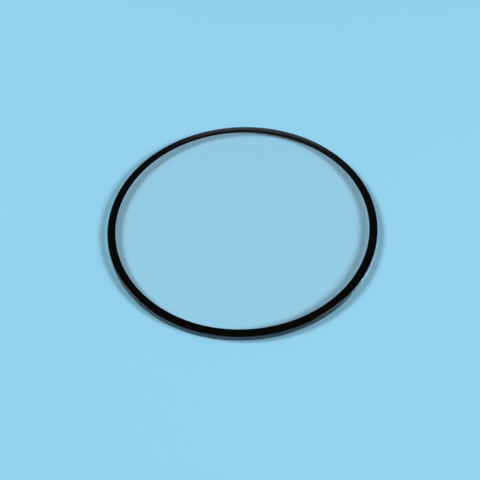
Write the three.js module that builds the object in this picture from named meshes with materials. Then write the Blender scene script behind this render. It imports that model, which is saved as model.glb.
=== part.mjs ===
// A flat watch glass: a clear mineral glass pane with bevelled edges and a black border printed
// on one face and over its bevel. Millimetres, +Z up. The origin is the centre of the face that
// the glass rests on.

import * as THREE from 'three';

// Driving dimensions
const paneDiameter = 36;
const paneThickness = 1;
const upperBevel = 0.1; // across the face, and as deep
const lowerBevel = 0.12;
const borderWidth = 1.1; // the black ring, from the pane's edge to the ring's inner edge
const inkThickness = 0.04; // on the face and on the bevel
const inkLean = 0.02; // how far the ink's inner edge leans in over its thickness
const roundSteps = 240; // flats around a full circle

const paneRadius = paneDiameter / 2;
const borderInnerRadius = paneRadius - borderWidth;

const clearGlass = new THREE.MeshStandardMaterial({
  name: 'clear_glass',
  color: 0xe6f2f4,
  roughness: 0.03,
  metalness: 0,
  transparent: true,
  opacity: 0.3,
});
const blackInk = new THREE.MeshStandardMaterial({
  name: 'black_ink',
  color: 0x0a0b0d,
  roughness: 0.5,
  metalness: 0,
});

// A solid of revolution about Z from [radius, height] points, listed up the outside.
function turned(points) {
  const profile = points.map(([radius, height]) => new THREE.Vector2(radius, height));
  const geometry = new THREE.LatheGeometry(profile, roundSteps);
  geometry.rotateX(Math.PI / 2);
  return geometry;
}

function namedMesh(name, geometry, material) {
  const mesh = new THREE.Mesh(geometry, material);
  mesh.name = name;
  return mesh;
}

// The pane: two flat faces and a straight ground edge, with a bevel where it meets each face.
function makeGlassPane() {
  const geometry = turned([
    [0, 0],
    [paneRadius - lowerBevel, 0],
    [paneRadius, lowerBevel],
    [paneRadius, paneThickness - upperBevel],
    [paneRadius - upperBevel, paneThickness],
    [0, paneThickness],
  ]);
  return namedMesh('glass_pane', geometry, clearGlass);
}

// The border: a thin closed ring of ink on the pane's upper face. It follows the 45 degree bevel
// down to the pane's edge, at the same thickness, and ends flush with that edge.
function makeBorderPrint() {
  const bottom = paneThickness;
  const top = paneThickness + inkThickness;
  const bevelTopRadius = paneRadius - upperBevel;
  const bevelFoot = paneThickness - upperBevel;
  const geometry = turned([
    [borderInnerRadius, bottom],
    [bevelTopRadius, bottom],
    [paneRadius, bevelFoot],
    [paneRadius, bevelFoot + inkThickness * Math.SQRT2],
    [bevelTopRadius + inkThickness * (Math.SQRT2 - 1), top],
    [borderInnerRadius + inkLean, top],
    [borderInnerRadius, bottom],
  ]);
  return namedMesh('border_print', geometry, blackInk);
}

const watchGlass = new THREE.Group();
watchGlass.name = 'watch_glass';
watchGlass.add(makeGlassPane());
watchGlass.add(makeBorderPrint());

export default watchGlass;
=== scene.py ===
import bpy
import math
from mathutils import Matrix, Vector


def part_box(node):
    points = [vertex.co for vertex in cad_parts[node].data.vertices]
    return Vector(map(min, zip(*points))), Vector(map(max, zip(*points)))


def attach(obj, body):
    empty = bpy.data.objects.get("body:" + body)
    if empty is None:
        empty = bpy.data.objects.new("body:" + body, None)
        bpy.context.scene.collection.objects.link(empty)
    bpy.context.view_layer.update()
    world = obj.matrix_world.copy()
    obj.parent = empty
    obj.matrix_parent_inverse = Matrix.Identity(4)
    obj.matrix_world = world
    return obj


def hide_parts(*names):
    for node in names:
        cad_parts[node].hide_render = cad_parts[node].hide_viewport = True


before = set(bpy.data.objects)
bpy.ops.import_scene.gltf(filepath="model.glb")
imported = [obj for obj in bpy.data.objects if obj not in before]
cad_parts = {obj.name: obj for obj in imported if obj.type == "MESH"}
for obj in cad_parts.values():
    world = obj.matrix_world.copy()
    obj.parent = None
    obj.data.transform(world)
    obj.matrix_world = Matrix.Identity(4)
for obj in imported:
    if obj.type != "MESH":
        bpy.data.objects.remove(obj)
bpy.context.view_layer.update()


# a node socket that can be used in plain sums
class Sock:
    def __init__(self, shader, socket):
        self.shader = shader
        self.socket = socket

    def math(self, operation, *others):
        return self.shader.node("ShaderNodeMath", {"operation": operation}, [self, *others])

    def __add__(self, other):
        return self.math("ADD", other)

    __radd__ = __add__

    def __mul__(self, other):
        return self.math("MULTIPLY", other)

    __rmul__ = __mul__

    def __sub__(self, other):
        return self.math("SUBTRACT", other)

    def __rsub__(self, other):
        return self.shader.node("ShaderNodeMath", {"operation": "SUBTRACT"}, [other, self])

    def __gt__(self, other):
        return self.math("GREATER_THAN", other)


# one material's node tree
class Shader:
    def __init__(self, name):
        self.material = bpy.data.materials.new(name)
        self.material.use_nodes = True
        self.tree = self.material.node_tree
        self.tree.nodes.clear()

    def node(self, kind, settings=None, inputs=(), output=0):
        made = self.tree.nodes.new(kind)
        for key, value in (settings or {}).items():
            setattr(made, key, value)
        pairs = inputs.items() if isinstance(inputs, dict) else enumerate(inputs)
        for key, value in pairs:
            if isinstance(value, Sock):
                self.tree.links.new(value.socket, made.inputs[key])
            else:
                made.inputs[key].default_value = value
        return Sock(self, made.outputs[output]) if made.outputs else None

    def place(self):
        return self.node("ShaderNodeTexCoord", output="Object")

    def noise(self, scale, detail=3, stretch=(1, 1, 1)):
        spot = self.node("ShaderNodeMapping", {}, {"Vector": self.place(), "Scale": stretch})
        inputs = {"Vector": spot, "Scale": scale, "Detail": detail}
        return self.node("ShaderNodeTexNoise", {}, inputs, "Fac")

    def ramp(self, value, low, high):
        inputs = {"Value": value, "From Min": low, "From Max": high}
        return self.node("ShaderNodeMapRange", {}, inputs)

    def bump(self, height, strength, distance):
        inputs = {"Height": height, "Strength": strength, "Distance": distance}
        return self.node("ShaderNodeBump", {}, inputs)

    def mix(self, share, colourA, colourB):
        inputs = {0: share, 6: colourA, 7: colourB}
        return self.node("ShaderNodeMix", {"data_type": "RGBA"}, inputs, 2)

    def finish(self, surface):
        self.node("ShaderNodeOutputMaterial", {}, {"Surface": surface})
        return self.material


def deselectAll():
    for thing in bpy.context.selected_objects:
        thing.select_set(False)


def pickOnly(thing):
    deselectAll()
    thing.select_set(True)
    bpy.context.view_layer.objects.active = thing


def startEdit(thing, mode):
    bpy.context.view_layer.objects.active = thing
    bpy.ops.object.mode_set(mode="EDIT")
    bpy.ops.mesh.select_mode(type=mode)
    bpy.ops.mesh.select_all(action="DESELECT")
    bpy.ops.object.mode_set(mode="OBJECT")


def pickEdges(thing, test):
    startEdit(thing, "EDGE")
    points = thing.data.vertices
    for edge in thing.data.edges:
        edge.select = all(test(points[i].co) for i in edge.vertices)
    bpy.ops.object.mode_set(mode="EDIT")


def pickFaces(thing, test):
    startEdit(thing, "FACE")
    for face in thing.data.polygons:
        face.select = test(face)
    bpy.ops.object.mode_set(mode="EDIT")


def backToObject():
    bpy.ops.object.mode_set(mode="OBJECT")


def smooth(thing, angle):
    pickOnly(thing)
    bpy.ops.object.shade_smooth_by_angle(angle=math.radians(angle))


def applyPlace(thing):
    pickOnly(thing)
    bpy.ops.object.transform_apply(location=True, rotation=True, scale=True)


def radiusOf(co):
    return math.hypot(co.x, co.y)


# turns a list of (radius, height) points into rings of quads about Z, as one open skin
def sweepRings(name, segments, points):
    radius, level = points[0]
    bpy.ops.mesh.primitive_circle_add(
        vertices=segments, radius=radius, fill_type="NOTHING", location=(0, 0, level)
    )
    skin = bpy.context.active_object
    skin.name = name
    applyPlace(skin)
    bpy.ops.object.mode_set(mode="EDIT")
    bpy.ops.mesh.select_all(action="SELECT")
    for newRadius, newLevel in points[1:]:
        bpy.ops.mesh.extrude_edges_move(
            TRANSFORM_OT_translate={"value": (0, 0, newLevel - level)}
        )
        share = newRadius / radius
        bpy.ops.transform.resize(value=(share, share, 1), center_override=(0, 0, newLevel))
        radius, level = newRadius, newLevel
    backToObject()
    return skin


deselectAll()
paneLow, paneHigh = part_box("glass_pane")
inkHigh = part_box("border_print")[1]
print("frame loaded")

pane = {
    "segments": 360,
    "flatInset": 0.0004,
    "flatNormal": 0.9999,  # a face's normal stands at least this upright on the flats
    "upperRound": 0.0001,
    "lowerRound": 0.00012,
    "roundSteps": 6,
    "smoothAngle": 30,
    "ior": 1.52,
    "lampTint": (0.99, 1, 1, 1),
    "glassTint": (0.995, 1, 1, 1),
    "polish": 0.004,
    "ripple": {"scale": 2400, "strength": 0.02, "height": 0.000004},
    "smear": {"scale": 260, "stretch": (1, 2.2, 1), "from": 0.52, "to": 0.78, "roughness": 0.02},
    "speck": {"scale": 190, "outside": 0.016, "inside": 0.008, "roughness": 0.4},
    "speckTint": (0.35, 0.36, 0.36, 1),
    # the veil's bluish colour and share are partly dust haze and partly painted reflection
    "hazeAndReflection": (0.86, 0.9, 1, 1),
    "hazeAndReflectionShare": 0.065,
    "smearShare": 0.02,
    # the edge's dark blue tint is painted shade: the clear edge is darkened to the shade of the floor
    # it looks down onto under the ring
    "edgeShadeTint": (0.2, 0.3, 0.38, 1),
    "edgeRoughness": 0.2,
    "edgeLine": {"scale": 900, "stretch": (0.3, 0.3, 14), "share": 0.6},
    "edgePit": {"scale": 9000, "from": 0.4, "to": 0.8, "roughness": 0.08, "share": 0.4},
    "edgeRelief": {"strength": 0.05, "height": 0.000006},
}


# lamps shine straight through, so that the floor under the glass is lit
def letLampsThrough(shader, glass):
    clear = shader.node("ShaderNodeBsdfTransparent", {}, {"Color": pane["lampTint"]})
    lampRay = shader.node("ShaderNodeLightPath", output="Is Shadow Ray")
    return shader.finish(shader.node("ShaderNodeMixShader", {}, [lampRay, glass, clear]))


def polishedGlass():
    shader = Shader("polished glass")
    smear = pane["smear"]
    smears = shader.ramp(shader.noise(smear["scale"], 4, smear["stretch"]), smear["from"], smear["to"])
    speck = pane["speck"]
    cells = {"Vector": shader.place(), "Scale": speck["scale"]}
    distance = shader.node("ShaderNodeTexVoronoi", {}, cells, "Distance")
    specks = shader.ramp(distance, speck["outside"], speck["inside"])
    ripple = pane["ripple"]
    glass = shader.node("ShaderNodeBsdfPrincipled", {}, {
        "Base Color": shader.mix(specks, pane["glassTint"], pane["speckTint"]),
        "Roughness": pane["polish"] + smears * smear["roughness"] + specks * speck["roughness"],
        "IOR": pane["ior"],
        "Transmission Weight": 1,
        "Normal": shader.bump(shader.noise(ripple["scale"], 2), ripple["strength"], ripple["height"]),
    })
    # a thin pale diffuse veil lies on the outside only: partly a haze of dust and grease, partly
    # painted reflection, the pale sheen that light reflected off the glass lays over it
    hazeAndReflection = shader.node("ShaderNodeBsdfDiffuse", {}, {"Color": pane["hazeAndReflection"]})
    outside = 1 - shader.node("ShaderNodeNewGeometry", output="Backfacing")
    share = outside * (pane["hazeAndReflectionShare"] + smears * pane["smearShare"])
    return letLampsThrough(shader, shader.node("ShaderNodeMixShader", {}, [share, glass, hazeAndReflection]))


def groundEdge():
    shader = Shader("ground edge")
    line = pane["edgeLine"]
    pit = pane["edgePit"]
    relief = pane["edgeRelief"]
    lines = shader.noise(line["scale"], 2, line["stretch"])
    pits = shader.noise(pit["scale"], 3)
    height = lines * line["share"] + pits * pit["share"]
    dull = shader.ramp(pits, pit["from"], pit["to"]) * pit["roughness"]
    glass = shader.node("ShaderNodeBsdfPrincipled", {}, {
        # painted shade: the edge's transmission is tinted dark so it reads like the shadowed floor
        # seen through it
        "Base Color": pane["edgeShadeTint"],
        "Roughness": pane["edgeRoughness"] + dull,
        "IOR": pane["ior"],
        "Transmission Weight": 1,
        "Normal": shader.bump(height, relief["strength"], relief["height"]),
    })
    return letLampsThrough(shader, glass)


def makePane():
    radius = paneHigh.x
    thickness = paneHigh.z - paneLow.z
    bpy.ops.mesh.primitive_cylinder_add(
        vertices=pane["segments"], radius=radius, depth=thickness,
        location=(0, 0, paneLow.z + thickness / 2),
    )
    glass = bpy.context.active_object
    glass.name = "glass_disc"
    applyPlace(glass)
    rim = radius - 0.000001
    for height, roundSize in ((paneLow.z, pane["lowerRound"]), (paneHigh.z, pane["upperRound"])):
        pickEdges(glass, lambda co: abs(co.z - height) < 1e-6 and radiusOf(co) > rim)
        bpy.ops.mesh.bevel(
            offset=roundSize, segments=pane["roundSteps"], profile=0.5, affect="EDGES"
        )
        backToObject()
    for side in (1, -1):
        pickFaces(glass, lambda face: face.normal.z * side > pane["flatNormal"])
        bpy.ops.mesh.inset(thickness=pane["flatInset"])
        backToObject()
    glass.data.materials.append(polishedGlass())
    glass.data.materials.append(groundEdge())
    for face in glass.data.polygons:
        face.material_index = int(abs(face.normal.z) < pane["flatNormal"])
    smooth(glass, pane["smoothAngle"])
    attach(glass, "root")
    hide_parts("glass_pane")


makePane()
print("glass pane made")

border = {
    "segments": 360,
    "width": 0.0011,
    "bite": 0.000008,  # the ink is bonded, so its underside lies just inside the glass
    "shoulder": 0.0008,  # how far in from the rounding the ink's top starts to fall
    "shoulderDrop": 0.00003,
    "shoulderSteps": 6,
    "roundSteps": 8,
    "smoothAngle": 40,
    "lipLean": 0.00002,
    "lipPoints": ((2, 0), (1, 0.1), (0.3, 0.4)),  # shares of the lean, and of the way down
    "black": (0.0006, 0.0006, 0.0008, 1),
    "gloss": 0.3,
    "polish": 0.11,
    "cloud": {"scale": 420, "from": 0.3, "to": 0.7, "roughness": 0.04},
    "grain": {"scale": 9000, "roughness": 0.04, "strength": 0.25, "height": 0.000006},
    "dust": (0.16, 0.17, 0.18, 1),
    "speck": {"scale": 900, "outside": 0.06, "inside": 0.03, "cloudOver": 0.6},
}


def blackInk():
    shader = Shader("black printed ink")
    cloud = border["cloud"]
    grain = border["grain"]
    speck = border["speck"]
    clouds = shader.noise(cloud["scale"], 4)
    grains = shader.noise(grain["scale"], 3)
    cells = {"Vector": shader.place(), "Scale": speck["scale"]}
    distance = shader.node("ShaderNodeTexVoronoi", {}, cells, "Distance")
    specks = shader.ramp(distance, speck["outside"], speck["inside"]) * (clouds > speck["cloudOver"])
    dull = shader.ramp(clouds, cloud["from"], cloud["to"]) * cloud["roughness"]
    ink = shader.node("ShaderNodeBsdfPrincipled", {}, {
        "Base Color": shader.mix(specks, border["black"], border["dust"]),
        "Roughness": border["polish"] + dull + grains * grain["roughness"],
        "Specular IOR Level": border["gloss"],
        "Normal": shader.bump(grains, grain["strength"], grain["height"]),
    })
    return shader.finish(ink)


# the ink's section, from its feathered outer edge up the rounding, in to the inner lip, and back
# under along the glass
def inkSection():
    outer = paneHigh.x
    inner = outer - border["width"]
    crown = inkHigh.z
    face = paneHigh.z
    roundSize = pane["upperRound"]
    centre = outer - roundSize
    edge = face - roundSize
    steps = border["roundSteps"]
    shoulder = border["shoulder"]
    drop = border["shoulderDrop"]
    points = []
    for i in range(steps):
        angle = math.pi / 2 * (1 - i / steps)
        height = edge + (crown - drop - edge) * math.cos(angle)
        points.append((centre + roundSize * math.sin(angle), height))
    for i in range(border["shoulderSteps"] + 1):
        share = i / border["shoulderSteps"]
        points.append((centre - share * shoulder, crown - drop * (1 - share) ** 2))
    for leanShare, downShare in border["lipPoints"]:
        height = crown - downShare * (crown - face)
        points.append((inner + leanShare * border["lipLean"], height))
    points.append((inner, face))
    points.append((inner, face - border["bite"]))
    reach = roundSize - border["bite"]
    for i in range(steps + 1):
        angle = math.pi / 2 * i / steps
        points.append((centre + reach * math.sin(angle), edge + reach * math.cos(angle)))
    return points


def makeBorder():
    section = inkSection()
    ink = sweepRings("black_border", border["segments"], section)
    # the outer edge's two rings close the skin
    foot = section[0][1]
    pickEdges(ink, lambda co: abs(co.z - foot) < 1e-8)
    bpy.ops.mesh.bridge_edge_loops()
    bpy.ops.mesh.select_all(action="SELECT")
    bpy.ops.mesh.normals_make_consistent(inside=False)
    backToObject()
    ink.data.materials.append(blackInk())
    smooth(ink, border["smoothAngle"])
    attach(ink, "root")
    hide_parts("border_print")


makeBorder()
print("printed border made")

studio = {
    "floorColour": (0.30, 0.65, 0.85, 1),
    "floorRoughness": 0.9,
    "floorGloss": 0.1,
    "floorSize": 3,
    "floorDrop": 0.00002,
    "worldColour": (0.93, 0.96, 1.0, 1),
    "worldStrength": 0.07,
    "lampDistance": 0.5,
    "left": {
        "azimuth": -75, "elevation": 46, "width": 0.17, "height": 0.17,
        "power": 1.6, "colour": (1, 1, 1),
    },
    "right": {
        "azimuth": 114, "elevation": 37.5, "width": 0.17, "height": 0.17,
        "power": 1.95, "colour": (1, 1, 1),
    },
    "back": {
        "azimuth": 3, "elevation": 35.5, "width": 0.11, "height": 0.115,
        "power": 0.08, "colour": (0.7, 0.8, 1),
    },
}
eye = {
    "elevation": 51.3,
    "distance": 0.18,
    "target": (-0.000373, -0.00171, 0),
    "focal": 2.818,  # lens length over sensor width
    "roll": -2.7,
    "sensor": 36,
    "clip": (0.001, 10),
}


def softLight(name):
    values = studio[name]
    azimuth = math.radians(values["azimuth"])
    elevation = math.radians(values["elevation"])
    flat = math.cos(elevation)
    way = Vector((flat * math.sin(azimuth), flat * math.cos(azimuth), math.sin(elevation)))
    bpy.ops.object.light_add(type="AREA", location=way * studio["lampDistance"])
    lamp = bpy.context.active_object
    lamp.name = name + "_light"
    lamp.rotation_euler = way.to_track_quat("Z", "Y").to_euler()
    lamp.data.shape = "RECTANGLE"
    lamp.data.size = values["width"]
    lamp.data.size_y = values["height"]
    lamp.data.energy = values["power"]
    lamp.data.color = values["colour"]


def makeFloor():
    level = paneLow.z - studio["floorDrop"]
    bpy.ops.mesh.primitive_plane_add(size=studio["floorSize"], location=(0, 0, level))
    floor = bpy.context.active_object
    floor.name = "studio_floor"
    shader = Shader("studio floor")
    card = shader.node("ShaderNodeBsdfPrincipled", {}, {
        "Base Color": studio["floorColour"],
        "Roughness": studio["floorRoughness"],
        "Specular IOR Level": studio["floorGloss"],
    })
    floor.data.materials.append(shader.finish(card))


def makeWorld():
    world = bpy.data.worlds.new("studio")
    world.use_nodes = True
    air = world.node_tree.nodes["Background"]
    air.inputs["Color"].default_value = studio["worldColour"]
    air.inputs["Strength"].default_value = studio["worldStrength"]
    bpy.context.scene.world = world


def makeCamera():
    elevation = math.radians(eye["elevation"])
    back = Vector((0, -math.cos(elevation), math.sin(elevation)))
    place = Vector(eye["target"]) + back * eye["distance"]
    bpy.ops.object.camera_add(location=place, rotation=(math.pi / 2 - elevation, 0, 0))
    camera = bpy.context.active_object
    camera.rotation_euler.rotate_axis("Z", math.radians(eye["roll"]))
    camera.data.sensor_width = eye["sensor"]
    camera.data.lens = eye["sensor"] * eye["focal"]
    camera.data.clip_start, camera.data.clip_end = eye["clip"]
    bpy.context.scene.camera = camera


makeFloor()
for lampName in ("left", "right", "back"):
    softLight(lampName)
makeWorld()
makeCamera()
scene = bpy.context.scene
scene.view_settings.view_transform = "Standard"
scene.cycles.caustics_refractive = False
scene.cycles.caustics_reflective = False
scene.cycles.max_bounces = 32
scene.cycles.glossy_bounces = 24
scene.cycles.transmission_bounces = 24
scene.cycles.transparent_max_bounces = 16
print("studio made")
